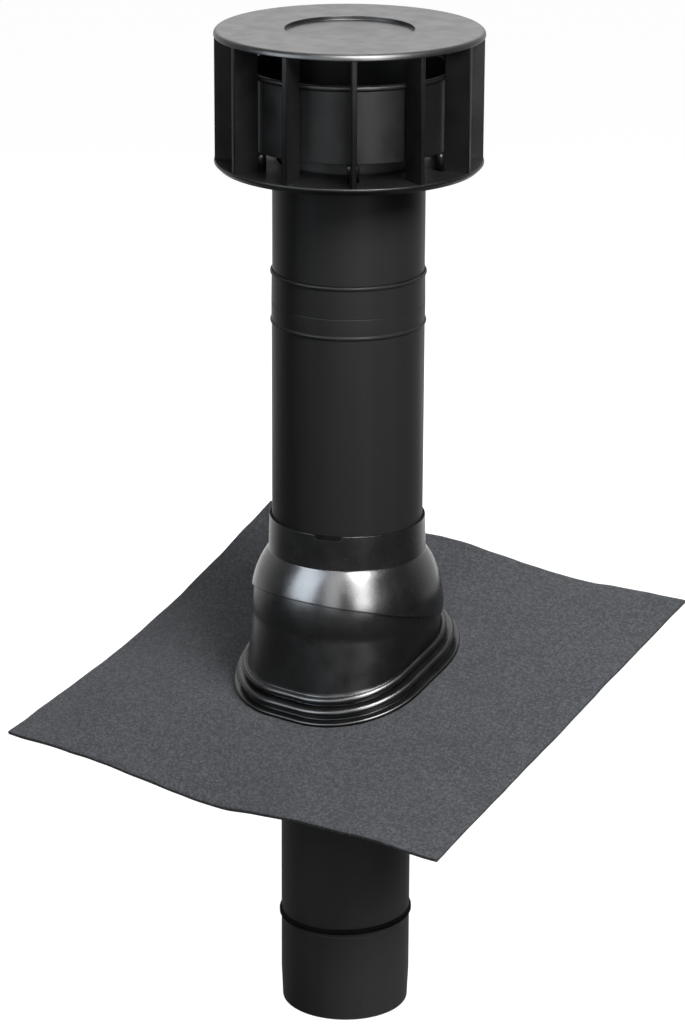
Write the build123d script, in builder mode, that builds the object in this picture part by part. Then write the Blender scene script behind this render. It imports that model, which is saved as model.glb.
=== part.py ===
"""Roof vent terminal: finned cap on a twin pipe, held in a two-shell base that follows the roof's pitch.

Frame: +Z up the pipe, origin at the centre of the spigot's lower end, X along the eaves, Y uphill.
"""

import os
from math import asin, cos, degrees, exp, pi, radians, sin, sqrt

from build123d import *

# Clearances
fit_gap = 0.3            # between round pieces that slide into each other
seal_gap = 0.15          # round a rubber ring
shell_gap = 0.4          # between the two dome shells
bedding_gap = 0.1        # between the foot or the clamp ring and the uneven sheet

# Inner pipe, whose lower end is the duct spigot
duct_r = 55.0
duct_wall = 2.7
outlet_gap = 49.0
lead_in_length = 27.0
lead_in_depth = 1.2
stop_bead_height = 4.0
stop_bead_depth = 2.0

# Rubber ring on the spigot, rolled on a little askew
seal_height_on_spigot = 82.0
seal_width = 4.2
seal_thickness = 2.15
seal_askew = 2.0
seal_groove_width = 9.0
seal_groove_depth = 0.6

# Outer pipe and its socket band
pipe_r = 62.5
pipe_wall = 3.0
pipe_length = 230.5
bead_width = 3.4
bead_proud = 1.0
band_length = 42.7
band_proud = 0.25
band_step = 27.0
band_groove = 0.5

# Neck tube
neck_r = 62.0
neck_wall = 3.0
neck_length = 88.8
plug_length = 38.0
plug_wall = 2.5
plug_shoulder = 4.0

# Spacer rings that centre the inner pipe
spacer_height = 12.0

# Cap
cap_r = 108.6
floor_thickness = 6.0
floor_edge_chamfer = 4.0
floor_lip = 4.0
neck_socket_depth = 4.0
fin_count = 12
fin_angle = 8.0
fin_height = 100.5
fin_thickness = 4.0
fin_setback = 0.6
post_height = 14.0
post_width = 10.0
post_depth = 7.0
baffle_r = 84.0
baffle_wall = 2.5
baffle_height = 62.0
baffle_lip_height = 4.0
baffle_lip_proud = 1.5
lip_round = 1.3
lid_thickness = 5.0
lid_edge_round = 2.2
lid_recess_r = 52.0
lid_recess_depth = 3.0
lid_recess_wall = 3.0

# Swivel hood: a spherical shell round the pivot, with a collar for the outer pipe
pivot_height = 364.0
hood_r = 81.0
hood_wall = 2.0
collar_wall = 2.7
collar_top = 77.0
ledge_thickness = 2.0
ledge_gap = 2.5
rim_tilt = 14.4
rim_offset = 2.2
rim_above_sheet = 36.0
notch_angle = -68.6
notch_width = 22.0
notch_depth = 3.6
collar_seal_thickness = 1.1
collar_seal_height = 5.0

# Roof pitch: as modelled, and the range that the two shells allow
roof_pitch = 16.2
pitch_min = 5.0
pitch_max = 18.0
opening_margin = 4.0

# Base shell, measured from the pivot and the roof plane
base_wall = 2.5
shoulder_drop = 8.0
pivot_to_sheet = 52.5
foot_shift = -14.0
skirt_half_u = 73.0
skirt_half_v = 79.5
skirt_corner = 59.0
side_arc = 13.0
bead_radius = 2.9
bead_round = 2.8
upper_bead_height = 17.8
upper_bead_grow = 2.0
lower_bead_height = 9.8
lower_bead_grow = 7.6
groove_inset = 0.5
flange_grow = 14.0
flange_thickness = 3.0
peg_r = 2.5
peg_head_r = 4.5
peg_head_height = 1.6
peg_line_grow = 6.0
peg_spread = 24.0

# Flashing sheet
sheet_width = 438.0
sheet_length = 381.0
sheet_thickness = 3.5
sheet_shift_u = 4.0
sheet_shift_v = -7.0
sheet_opening_inset = 4.0
flat_half_u = 96.0
flat_half_v = 102.0
left_sag = 14.0
front_sag = 13.0
front_sag_place = -10.0
front_sag_reach = 80.0
back_rise = 6.0
back_rise_place = -20.0
back_rise_reach = 55.0
back_sag = 5.5
back_sag_place = 120.0
back_sag_reach = 60.0
sheet_steps = 24

# Clamp ring under the sheet
clamp_grow = 13.0
clamp_thickness = 4.0

# Heights and radii that follow from the sizes above
collar_bore_r = pipe_r + fit_gap
collar_r = collar_bore_r + collar_wall
hood_inner_r = hood_r - hood_wall
ledge_r = duct_r + ledge_gap
ledge_z = pivot_height + sqrt(hood_inner_r**2 - ledge_r**2) + ledge_thickness
collar_top_z = pivot_height + collar_top
pipe_bore_r = pipe_r - pipe_wall
pipe_top_z = ledge_z + pipe_length
plug_r = pipe_bore_r - fit_gap
plug_bore_r = plug_r - plug_wall
neck_bore_r = neck_r - neck_wall
neck_top_z = pipe_top_z + neck_length
floor_bottom_z = neck_top_z - neck_socket_depth
floor_top_z = floor_bottom_z + floor_thickness
lid_bottom_z = floor_top_z + fin_height
lid_top_z = lid_bottom_z + lid_thickness
duct_top_z = lid_bottom_z - lid_recess_depth - outlet_gap
baffle_bottom_z = floor_top_z + post_height
baffle_top_z = baffle_bottom_z + baffle_height
spacer_bore_r = duct_r + fit_gap
stop_bead_z = ledge_z + spacer_height
base_r = hood_inner_r - shell_gap
base_inner_r = base_r - base_wall
fin_outer_r = cap_r - fin_setback
fin_inner_r = baffle_r + baffle_lip_proud + fit_gap

# Planes of the sloping base: u along the eaves, v up the slope, both measured from the foot's centre
pivot_plane = Plane(
    origin=(0, 0, pivot_height),
    x_dir=(1, 0, 0),
    z_dir=(0, -sin(radians(roof_pitch)), cos(radians(roof_pitch))),
)
sheet_plane = Plane(
    origin=pivot_plane.from_local_coords((0, foot_shift, -pivot_to_sheet)),
    x_dir=(1, 0, 0),
    z_dir=pivot_plane.z_dir,
)
foot_plane = sheet_plane.offset(bedding_gap)
sheet_back_plane = sheet_plane.offset(-sheet_thickness)
clamp_plane = sheet_back_plane.offset(-bedding_gap)
mid_pitch = (pitch_min + pitch_max) / 2
opening_plane = Plane(
    origin=(0, 0, pivot_height),
    x_dir=(1, 0, 0),
    z_dir=(0, sin(radians(mid_pitch - roof_pitch)), cos(radians(mid_pitch - roof_pitch))),
)
rim_plane = Plane(
    origin=(0, 0, pivot_height),
    x_dir=(1, 0, 0),
    z_dir=(0, sin(radians(rim_tilt)), cos(radians(rim_tilt))),
).offset(rim_offset)


def lathe(points):
    """Solid of revolution round the pipe's axis from (radius, height) points."""
    with BuildPart() as turned:
        with BuildSketch(Plane.XZ):
            with BuildLine():
                Polyline(*points, close=True)
            make_face()
        revolve(axis=Axis.Z)
    return turned.part


def tube(inner_r, outer_r, bottom_z, top_z):
    """Plain round tube."""
    return lathe([(inner_r, bottom_z), (outer_r, bottom_z), (outer_r, top_z), (inner_r, top_z)])


def half_round_bead(surface_r, middle_z):
    """Rounded bead on a pipe's outside, let a little into its wall."""
    with BuildPart() as bead:
        with BuildSketch(Plane.XZ):
            with Locations((surface_r, middle_z)):
                Ellipse(bead_proud, bead_width / 2)
        revolve(axis=Axis.Z)
    return bead.part


def circle_outline(radius):
    """Circle cut into the same eight stretches as a foot outline."""
    with BuildSketch() as outline:
        with BuildLine():
            for quarter in range(4):
                CenterArc((0, 0), radius, 90 * quarter - side_arc, 2 * side_arc)
                CenterArc((0, 0), radius, 90 * quarter + side_arc, 90 - 2 * side_arc)
        make_face()
    return outline.sketch


def foot_outline(grow):
    """Rounded oblong of the foot, offset outwards from the skirt's lower edge."""
    half_u = skirt_half_u + grow
    half_v = skirt_half_v + grow
    corner = skirt_corner + grow
    flat_u = half_u - corner
    flat_v = half_v - corner
    with BuildSketch() as outline:
        with BuildLine():
            Line((half_u, -flat_v), (half_u, flat_v))
            CenterArc((flat_u, flat_v), corner, 0, 90)
            Line((flat_u, half_v), (-flat_u, half_v))
            CenterArc((-flat_u, flat_v), corner, 90, 90)
            Line((-half_u, flat_v), (-half_u, -flat_v))
            CenterArc((-flat_u, -flat_v), corner, 180, 90)
            Line((-flat_u, -half_v), (flat_u, -half_v))
            CenterArc((flat_u, -flat_v), corner, 270, 90)
        make_face()
    return outline.sketch


def foot_plate(grow, bottom, thickness):
    """Plate with the foot's outline."""
    with BuildPart() as plate:
        with BuildSketch(foot_plane.offset(bottom)):
            add(foot_outline(grow))
        extrude(amount=thickness)
    return plate.part


def foot_bead(grow, middle):
    """Plate whose edge is rounded into a bead, with the bead's centre line on the grown outline."""
    with BuildPart() as bead:
        add(foot_plate(grow + bead_radius, middle - bead_radius, 2 * bead_radius))
        upright = bead.edges().filter_by(Axis(foot_plane.origin, foot_plane.z_dir))
        fillet(bead.edges() - upright, bead_round)
    return bead.part


def skirt(wall):
    """Skirt between the dome's shoulder and the foot, inset by a wall thickness."""
    shoulder_r = sqrt((base_r - wall) ** 2 - shoulder_drop**2)
    with BuildPart() as body:
        with BuildSketch(Plane.XY.offset(pivot_height - shoulder_drop)):
            add(circle_outline(shoulder_r))
        with BuildSketch(foot_plane.offset(upper_bead_height)):
            add(foot_outline(-wall))
        loft(ruled=True)
    return body.part


def dome(radius):
    """Ball round the pivot, flat at the shoulder."""
    with BuildPart() as ball:
        with Locations((0, 0, pivot_height)):
            Sphere(radius, arc_size1=-degrees(asin(shoulder_drop / radius)), align=Align.NONE)
    return ball.part


def peg_points():
    """Places of the staking pegs round the flange, in the foot's plane."""
    side_u = skirt_half_u + peg_line_grow
    end_v = skirt_half_v + peg_line_grow
    sides = [(su * side_u, sv * peg_spread) for su in (-1, 1) for sv in (-1, 1)]
    ends = [(0, -end_v), (0, end_v)]
    return sides + ends


def ease(distance, reach):
    """Zero inside the flat middle of the sheet, rising smoothly to 1 at its edge."""
    share = max(0.0, min(1.0, distance / reach))
    return share * share


def hump(place, middle, reach):
    """Single smooth wave along an edge."""
    return exp(-(((place - middle) / reach) ** 2))


def sheet_rise(u, v):
    """Height of the wavy sheet over the roof plane: the middle lies flat, the edges sag and lift."""
    left = sheet_shift_u - sheet_width / 2
    front = sheet_shift_v - sheet_length / 2
    back = sheet_shift_v + sheet_length / 2
    left_share = ease(-flat_half_u - u, -flat_half_u - left)
    front_share = ease(-flat_half_v - v, -flat_half_v - front)
    back_share = ease(v - flat_half_v, back - flat_half_v)
    rise = -left_sag * left_share * cos(pi * (v - sheet_shift_v) / sheet_length)
    rise -= front_sag * front_share * hump(u, front_sag_place, front_sag_reach)
    rise += back_rise * back_share * hump(u, back_rise_place, back_rise_reach)
    rise -= back_sag * back_share * hump(u, back_sag_place, back_sag_reach)
    return rise


def sheet_surface():
    """Upper surface of the sheet."""
    rows = []
    for i in range(sheet_steps + 1):
        u = sheet_shift_u + sheet_width * (i / sheet_steps - 0.5)
        row = []
        for j in range(sheet_steps + 1):
            v = sheet_shift_v + sheet_length * (j / sheet_steps - 0.5)
            row.append(sheet_plane.from_local_coords(Vector(u, v, sheet_rise(u, v))))
        rows.append(row)
    return Face.make_surface_from_array_of_points(rows)


# Inner pipe with a tapered lead-in, a groove for the rubber ring and the bead that stands on the lower spacer
duct_bore_r = duct_r - duct_wall
groove_r = duct_r - seal_groove_depth
groove_bottom_z = seal_height_on_spigot - seal_groove_width / 2
groove_top_z = seal_height_on_spigot + seal_groove_width / 2
stop_bead_top_z = stop_bead_z + stop_bead_height
with BuildPart() as inner_pipe:
    add(
        lathe(
            [
                (duct_bore_r, 0),
                (duct_r - lead_in_depth, 0),
                (duct_r, lead_in_length),
                (duct_r, groove_bottom_z),
                (groove_r, groove_bottom_z),
                (groove_r, groove_top_z),
                (duct_r, groove_top_z),
                (duct_r, stop_bead_z),
                (duct_r + stop_bead_depth, stop_bead_z),
                (duct_r + stop_bead_depth, stop_bead_top_z),
                (duct_r, stop_bead_top_z),
                (duct_r, duct_top_z),
                (duct_bore_r, duct_top_z),
            ]
        )
    )

# Rubber ring, tilted a little round the spigot
seal_bore_r = groove_r + seal_gap
seal_plane = Plane(origin=(0, 0, seal_height_on_spigot)).rotated((0, -seal_askew, 0))
with BuildPart() as spigot_seal:
    with BuildSketch(seal_plane):
        Circle(seal_bore_r + seal_thickness)
        Circle(seal_bore_r, mode=Mode.SUBTRACT)
    extrude(amount=seal_width / 2, both=True)
    fillet(spigot_seal.edges().group_by(SortBy.LENGTH)[-1], seal_thickness / 2.5)

# Outer pipe: plain below, a slightly proud socket band between two beads above
band_bottom_z = pipe_top_z - band_length
band_r = pipe_r + band_proud
step_z = pipe_top_z - band_step
with BuildPart() as outer_pipe:
    add(
        lathe(
            [
                (pipe_bore_r, ledge_z),
                (pipe_r, ledge_z),
                (pipe_r, band_bottom_z),
                (band_r, band_bottom_z),
                (band_r, step_z - band_groove),
                (band_r - band_groove, step_z),
                (band_r, step_z + band_groove),
                (band_r, pipe_top_z),
                (pipe_bore_r, pipe_top_z),
            ]
        )
    )
    add(half_round_bead(band_r, pipe_top_z - bead_width / 2))
    add(half_round_bead(band_r, band_bottom_z))

# Neck tube: its plug goes into the pipe, its shoulder stands on the pipe's end
plug_bottom_z = pipe_top_z - plug_length
shoulder_z = pipe_top_z + plug_shoulder
with BuildPart() as neck_tube:
    add(
        lathe(
            [
                (plug_bore_r, plug_bottom_z),
                (plug_r, plug_bottom_z),
                (plug_r, pipe_top_z),
                (neck_r, pipe_top_z),
                (neck_r, neck_top_z),
                (neck_bore_r, neck_top_z),
                (neck_bore_r, shoulder_z),
                (plug_bore_r, shoulder_z),
            ]
        )
    )

# Spacer rings: one stands on the hood's ledge, one on the neck's inner shoulder
with BuildPart() as lower_spacer:
    add(tube(spacer_bore_r, pipe_bore_r - fit_gap, ledge_z, stop_bead_z))
with BuildPart() as upper_spacer:
    add(tube(spacer_bore_r, neck_bore_r - fit_gap, shoulder_z, shoulder_z + spacer_height))

# Cap cage: floor with the neck's socket, fins, and a post under the baffle at every second fin
with BuildPart() as cap_cage:
    add(
        lathe(
            [
                (neck_r - floor_lip, neck_top_z),
                (neck_r + fit_gap, neck_top_z),
                (neck_r + fit_gap, floor_bottom_z),
                (cap_r - floor_edge_chamfer, floor_bottom_z),
                (cap_r, floor_bottom_z + floor_edge_chamfer),
                (cap_r, floor_top_z),
                (neck_r - floor_lip, floor_top_z),
            ]
        )
    )
    with BuildSketch(Plane.XY.offset(floor_top_z)):
        with PolarLocations((fin_inner_r + fin_outer_r) / 2, fin_count, fin_angle):
            Rectangle(fin_outer_r - fin_inner_r, fin_thickness)
    extrude(amount=fin_height)
    with BuildSketch(Plane.XY.offset(floor_top_z)):
        with PolarLocations(baffle_r - baffle_wall / 2, fin_count // 2, fin_angle):
            Rectangle(post_depth, post_width)
    extrude(amount=post_height)

# Wind baffle: cylinder with a rolled lip round its top
lip_r = baffle_r + baffle_lip_proud
lip_bottom_z = baffle_top_z - baffle_lip_height
baffle_bore_r = baffle_r - baffle_wall
with BuildPart() as wind_baffle:
    add(tube(baffle_bore_r, baffle_r, baffle_bottom_z, baffle_top_z))
    add(tube(baffle_bore_r, lip_r, lip_bottom_z, baffle_top_z))
    lip_edges = wind_baffle.edges().filter_by(GeomType.CIRCLE).sort_by(SortBy.RADIUS)[-2:]
    fillet(lip_edges, lip_round)

# Lid with rounded edge and a shallow recess, dished to an even thickness
lid_dish_r = lid_recess_r + lid_recess_wall
with BuildPart() as cap_lid:
    add(
        lathe(
            [
                (0, lid_bottom_z - lid_recess_depth),
                (lid_dish_r, lid_bottom_z - lid_recess_depth),
                (lid_dish_r, lid_bottom_z),
                (cap_r, lid_bottom_z),
                (cap_r, lid_top_z),
                (lid_recess_r, lid_top_z),
                (lid_recess_r, lid_top_z - lid_recess_depth),
                (0, lid_top_z - lid_recess_depth),
            ]
        )
    )
    rim_circles = cap_lid.edges().filter_by(GeomType.CIRCLE).sort_by(SortBy.RADIUS)[-2:]
    fillet(rim_circles.sort_by(Axis.Z)[-1], lid_edge_round)

# Swivel hood: collar, ledge for the outer pipe, and a dome cut off along its tilted rim
seal_seat_r = collar_bore_r + collar_seal_thickness
seal_seat_z = collar_top_z - collar_seal_height
with BuildPart() as swivel_hood:
    with Locations((0, 0, pivot_height)):
        Sphere(hood_r)
    add(tube(0, collar_r, pivot_height, collar_top_z))
    with Locations((0, 0, pivot_height)):
        Sphere(hood_inner_r, mode=Mode.SUBTRACT)
    add(tube(0, collar_bore_r, ledge_z, pivot_height + hood_r), mode=Mode.SUBTRACT)
    add(tube(0, ledge_r, pivot_height, ledge_z), mode=Mode.SUBTRACT)
    add(tube(0, seal_seat_r, seal_seat_z, collar_top_z), mode=Mode.SUBTRACT)
    with BuildSketch(rim_plane):
        Rectangle(4 * hood_r, 4 * hood_r)
    extrude(amount=-2 * hood_r, mode=Mode.SUBTRACT)
    with BuildSketch(sheet_plane.offset(rim_above_sheet)):
        Rectangle(4 * hood_r, 4 * hood_r)
    extrude(amount=-2 * hood_r, mode=Mode.SUBTRACT)
    with BuildSketch(Plane(origin=(0, 0, collar_top_z)).rotated((0, 0, notch_angle))):
        with Locations((collar_r, 0)):
            Rectangle(2 * collar_wall, notch_width)
    extrude(amount=-notch_depth, mode=Mode.SUBTRACT)

# Rubber ring in the collar's mouth
with BuildPart() as collar_seal:
    add(tube(pipe_r + seal_gap, seal_seat_r - seal_gap, seal_seat_z, collar_top_z))

# Base shell: dome and skirt with the beaded foot, open below and above, and the staking pegs
opening_r = duct_r + base_inner_r * sin(radians((pitch_max - pitch_min) / 2)) + opening_margin
peg_length = sheet_thickness + clamp_thickness + 2 * bedding_gap
with BuildPart() as base_shell:
    add(dome(base_r))
    add(skirt(0.0))
    add(foot_bead(upper_bead_grow, upper_bead_height))
    add(foot_bead(lower_bead_grow, lower_bead_height))
    add(foot_plate(upper_bead_grow - groove_inset, lower_bead_height, upper_bead_height - lower_bead_height))
    add(foot_plate(lower_bead_grow - groove_inset, 0, lower_bead_height))
    add(foot_plate(flange_grow, 0, flange_thickness))
    add(dome(base_inner_r), mode=Mode.SUBTRACT)
    add(skirt(base_wall), mode=Mode.SUBTRACT)
    add(foot_plate(-base_wall, 0, upper_bead_height), mode=Mode.SUBTRACT)
    with BuildSketch(opening_plane):
        Circle(opening_r)
    extrude(amount=2 * base_r, mode=Mode.SUBTRACT)
    with BuildSketch(foot_plane):
        with Locations(*peg_points()):
            Circle(peg_r)
    extrude(amount=-peg_length)
    with BuildSketch(foot_plane.offset(-peg_length)):
        with Locations(*peg_points()):
            Circle(peg_head_r)
    extrude(amount=-peg_head_height)

# Flashing sheet with its opening and peg holes
with BuildPart() as flashing_sheet:
    extrude(sheet_surface(), amount=-sheet_thickness, dir=sheet_plane.z_dir)
    with BuildSketch(sheet_plane):
        add(foot_outline(-sheet_opening_inset))
    extrude(amount=2 * sheet_thickness, both=True, mode=Mode.SUBTRACT)
    for peg_point in peg_points():
        with BuildSketch(sheet_plane):
            with Locations(peg_point):
                Circle(peg_r + fit_gap)
        extrude(amount=2 * sheet_thickness, both=True, mode=Mode.SUBTRACT)

# Clamp ring that holds the sheet against the flange
with BuildPart() as clamp_ring:
    with BuildSketch(clamp_plane):
        add(foot_outline(clamp_grow))
        add(foot_outline(-sheet_opening_inset), mode=Mode.SUBTRACT)
        with Locations(*peg_points()):
            Circle(peg_r + fit_gap, mode=Mode.SUBTRACT)
    extrude(amount=-clamp_thickness)

pieces = {
    "cap_lid": cap_lid,
    "cap_cage": cap_cage,
    "wind_baffle": wind_baffle,
    "neck_tube": neck_tube,
    "outer_pipe": outer_pipe,
    "inner_pipe": inner_pipe,
    "upper_spacer": upper_spacer,
    "lower_spacer": lower_spacer,
    "spigot_seal": spigot_seal,
    "swivel_hood": swivel_hood,
    "collar_seal": collar_seal,
    "base_shell": base_shell,
    "flashing_sheet": flashing_sheet,
    "clamp_ring": clamp_ring,
}
os.makedirs("parts", exist_ok=True)
for name, piece in pieces.items():
    piece.part.label = name
    export_step(piece.part, f"parts/{name}.step")
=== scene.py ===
import math

import bmesh
import bpy
import numpy as np
from mathutils import Matrix, Vector, noise


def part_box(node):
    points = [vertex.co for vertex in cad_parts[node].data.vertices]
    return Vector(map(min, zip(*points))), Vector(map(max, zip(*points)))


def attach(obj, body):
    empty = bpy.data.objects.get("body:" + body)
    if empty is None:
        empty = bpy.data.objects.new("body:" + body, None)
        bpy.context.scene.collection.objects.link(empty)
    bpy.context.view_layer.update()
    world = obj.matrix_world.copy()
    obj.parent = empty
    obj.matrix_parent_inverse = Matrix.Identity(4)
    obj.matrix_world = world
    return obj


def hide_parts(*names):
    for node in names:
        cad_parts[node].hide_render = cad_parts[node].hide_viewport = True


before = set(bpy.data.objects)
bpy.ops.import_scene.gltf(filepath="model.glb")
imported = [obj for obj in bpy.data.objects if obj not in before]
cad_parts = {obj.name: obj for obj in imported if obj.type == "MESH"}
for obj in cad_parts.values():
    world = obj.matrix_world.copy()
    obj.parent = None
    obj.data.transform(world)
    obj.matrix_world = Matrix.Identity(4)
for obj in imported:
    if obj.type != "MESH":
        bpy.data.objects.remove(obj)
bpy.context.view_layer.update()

MM = 0.001
scene = bpy.context.scene

# Sizes in millimetres. Heights and radii come from the CAD nodes' boxes where a box gives them.


def low(node, axis=2):
    """Lower end of a node's box, along Z unless another axis is given."""
    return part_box(node)[0][axis] / MM


def high(node, axis=2):
    """Upper end of a node's box, along Z unless another axis is given."""
    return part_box(node)[1][axis] / MM


PIVOT_Z = 364.0
ROOF_PITCH = math.radians(16.2)
DISC_CENTRE = 0.01
TOUCH_GAP = 0.02
WELD = 0.001

LID_TOP = high("cap_lid")
LID_R = high("cap_lid", 0)
LID_EDGE = 4.0
LID_DISH_BOTTOM = low("cap_lid")
LID_RECESS_DEPTH = 3.0
LID_BOTTOM = LID_DISH_BOTTOM + LID_RECESS_DEPTH
LID_RECESS_R = 52.0
LID_RECESS_WALL = 3.0

FLOOR_BOTTOM = low("cap_cage")
FLOOR_THICKNESS = 6.0
FLOOR_TOP = FLOOR_BOTTOM + FLOOR_THICKNESS
FLOOR_BORE = 58.0
FLOOR_CHAMFER = 4.0
NECK_SOCKET_R = 62.3
NECK_SOCKET_DEPTH = 4.0
FIN_COUNT = 12
FIN_ANGLE = math.radians(8.0)
FIN_INNER = 85.8
FIN_OUTER = 108.0
FIN_THICKNESS = 4.0
FIN_EDGE = 0.7
FIN_SINK = 0.4
POST_R = 82.75
POST_DEPTH = 7.0
POST_WIDTH = 10.0
POST_EDGE = 2.8
POST_TOP_EDGE = 3.0

BAFFLE_BOTTOM = low("wind_baffle")
BAFFLE_TOP = high("wind_baffle")
BAFFLE_LIP_R = high("wind_baffle", 0)
BAFFLE_LIP_HEIGHT = 4.0
BAFFLE_LIP_PROUD = 1.5
BAFFLE_WALL = 2.5
BAFFLE_R = BAFFLE_LIP_R - BAFFLE_LIP_PROUD
BAFFLE_BORE = BAFFLE_R - BAFFLE_WALL

PIPE_BOTTOM = low("outer_pipe")
PIPE_TOP = high("outer_pipe")
PIPE_R = 62.5
PIPE_BORE = 59.5
PIPE_EDGE = 0.4
BAND_R = 62.75
BAND_BOTTOM = PIPE_TOP - 42.7
BAND_STEP = PIPE_TOP - 27.0
BAND_GROOVE = 0.4
GROOVE_HALF = 0.6
GROOVE_FLOOR_HALF = 0.15
BEAD_FOOT = 0.3
BEAD_PROUD = 1.0
BEAD_SINK = 0.25
BEAD_HALF = 1.7

NECK_BOTTOM = low("neck_tube")
NECK_TOP = high("neck_tube")
NECK_R = 62.0
NECK_BORE = 59.0
NECK_PLUG_R = 59.2
NECK_PLUG_BORE = 56.7
NECK_SHOULDER = 4.0

DUCT_R = 55.0
DUCT_BORE = 52.3
DUCT_TOP = high("inner_pipe")
DUCT_TAPER = 1.2
DUCT_TAPER_HEIGHT = 27.0
STOP_BEAD_R = high("inner_pipe", 0)
STOP_BEAD_Z = PIPE_BOTTOM + 12.0
STOP_BEAD_HEIGHT = 4.0
SEAL_Z = 82.0
SEAL_INNER = 54.55
SEAL_OUTER = 56.7
SEAL_HALF = 2.1
SEAL_ASKEW = math.radians(2.0)
SEAL_GROOVE_HALF = 4.5
SEAL_GROOVE_DEPTH = 0.6

COLLAR_R = 65.5
COLLAR_LIP_R = 64.6
COLLAR_LIP_EDGE = 0.15
COLLAR_LIP_SLOPE = 0.8
COLLAR_BORE = 62.8
COLLAR_TOP = high("swivel_hood")
COLLAR_BLEND = 2.5
COLLAR_SEAL_SEAT = 63.9
COLLAR_SEAL_DEPTH = 5.0
HOOD_R = 81.0
HOOD_INNER = 79.0
LEDGE_R = 57.5
RIM_TILT = math.radians(14.4)
RIM_OFFSET = 2.2
RIM_OVER_ROOF = -16.5
NOTCH_ANGLE = math.radians(-68.6)
NOTCH_HALF = 11.0
NOTCH_DEPTH = 3.6
NOTCH_EDGE = 0.05

# Rounded edge of the hood's rim: depths into the wall, and lifts over the rim in radians

RIM_EDGE = 0.5
RIM_EDGE_LIFT = 0.006
RIM_EDGE_MIDDLE = 0.12
RIM_EDGE_MIDDLE_LIFT = 0.0015

BASE_R = 78.6
BASE_INNER = 76.1
SHOULDER_DROP = 8.0
OPENING_TILT = math.radians(-4.7)
OPENING_R = 67.6
PIVOT_TO_SHEET = 52.5
FOOT_SHIFT = -14.0
FOOT_WALL = 2.5
FOOT_RECESS = 6.0
FOOT_CLEAR = 0.1
SKIRT_U = 73.0
SKIRT_V = 79.5
SKIRT_CORNER = 59.0
SKIRT_END = 0.4
SIDE_ARC = 13.0
BEAD_ROUND = 2.9
UPPER_BEAD = (2.0, 17.8)
LOWER_BEAD = (7.6, 9.8)
BEAD_FILLET = 0.5
FLANGE_GROW = 14.0
FLANGE_THICKNESS = 3.0
FLANGE_EDGE = 1.2
FLANGE_FILLET = 0.6
FLANGE_BREAK = 0.2
FILLET_SHIFT = 0.1
FOOT_UNDER = 0.1
PEG_OUT = 6.0
PEG_V = 24.0
PEG_R = 2.5
PEG_HEAD_R = 4.5
PEG_REACH = 7.7
PEG_SINK = 0.5

# Edge of a peg's flattened head: inwards from its rim, and down from its upper face

PEG_HEAD_EDGE = [(0.2, 0.0), (0.0, 0.5), (0.4, 1.3), (1.3, 1.6)]

SHEET_W = 438.0
SHEET_L = 381.0
SHEET_T = 3.5
SHEET_U = 4.0
SHEET_V = -7.0
SHEET_LEFT = SHEET_U - SHEET_W / 2
SHEET_RIGHT = SHEET_U + SHEET_W / 2
SHEET_FRONT = SHEET_V - SHEET_L / 2
SHEET_BACK = SHEET_V + SHEET_L / 2
HOLE_INSET = 4.0
FLAT_U = 96.0
FLAT_V = 102.0
LEFT_DROOP = 14.0
RIPPLE = 1.3
RIPPLE_START = 0.55
RIPPLE_BROAD = 46.0
RIPPLE_FINE = 19.0
RIPPLE_FINE_SHARE = 0.5
RIPPLE_LAYERS = (3.1, 7.7)
WORN = 0.9985

# Rounded edge of the sheet: drop from its upper face, and scale of its outline

SHEET_EDGE = [(-0.25, WORN), (-0.9, 1.0), (-SHEET_T + 0.7, 1.0), (-SHEET_T, WORN)]

# Waves of the sheet's front and back: height, then middle and reach along the eaves

FRONT_DIP = (-13.0, -10.0, 80.0)
BACK_HUMP = (6.0, -20.0, 55.0)
BACK_DIP = (-5.5, 120.0, 60.0)

# Numbers of mesh steps

LID_COLUMNS = 240
BAFFLE_COLUMNS = 200
SEAL_COLUMNS = 160
PEG_COLUMNS = 24
BLOCK_STEPS = 4
HOOD_COLUMNS = 360
LIP_STEPS = 4
COLLAR_STEPS = 6
DOME_STEPS = 26
HOOD_INNER_STEPS = 12
BALL_STEPS = 18
BALL_INNER_STEPS = 10
SKIRT_STEPS = 16
SKIRT_INNER_STEPS = 8
STRETCH_STEPS = 32
BASE_COLUMNS = 8 * STRETCH_STEPS
SHEET_ROWS = 40
SHEET_STEPS_U = 124
SHEET_STEPS_V = 108

# Camera as fitted to the photo, and the aim of the lights; places in metres

CAMERA_AZIMUTH = math.radians(36)
CAMERA_PITCH = math.radians(18.69)
CAMERA_ROLL = math.radians(0.258)
CAMERA_PLACE = (1.6473, -2.2741, 1.391)
FOCAL_PIXELS = 3567.0
PHOTO_HEIGHT = 1024.0
SENSOR = 36.0
AWAY = Vector((-math.sin(CAMERA_AZIMUTH), math.cos(CAMERA_AZIMUTH), 0))
RIGHT = Vector((math.cos(CAMERA_AZIMUTH), math.sin(CAMERA_AZIMUTH), 0))
CLIP_END = 40.0
LIGHT_AIM = Vector((0, 0, 0.42))

# Floor and world; limits are taken along AWAY, in metres for the floor and as a dot product for the world

FLOOR_REACH = 9.0
FLOOR_GREY = 0.16
FLOOR_GLOW = 0.96
FLOOR_LIMITS = (0.6, 1.6)
WORLD_MATT = 0.08
WORLD_GLOSS = (0.06, 1.0)
WORLD_LIMITS = (-0.1, 0.6)

# Sockets of a Mix node, for colours and for numbers

MIX_SHARE = 0
COLOUR_A = 6
COLOUR_B = 7
COLOUR_OUT = 2
NUMBER_A = 2
NUMBER_B = 3
NUMBER_OUT = 0


# Mesh helpers


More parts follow.
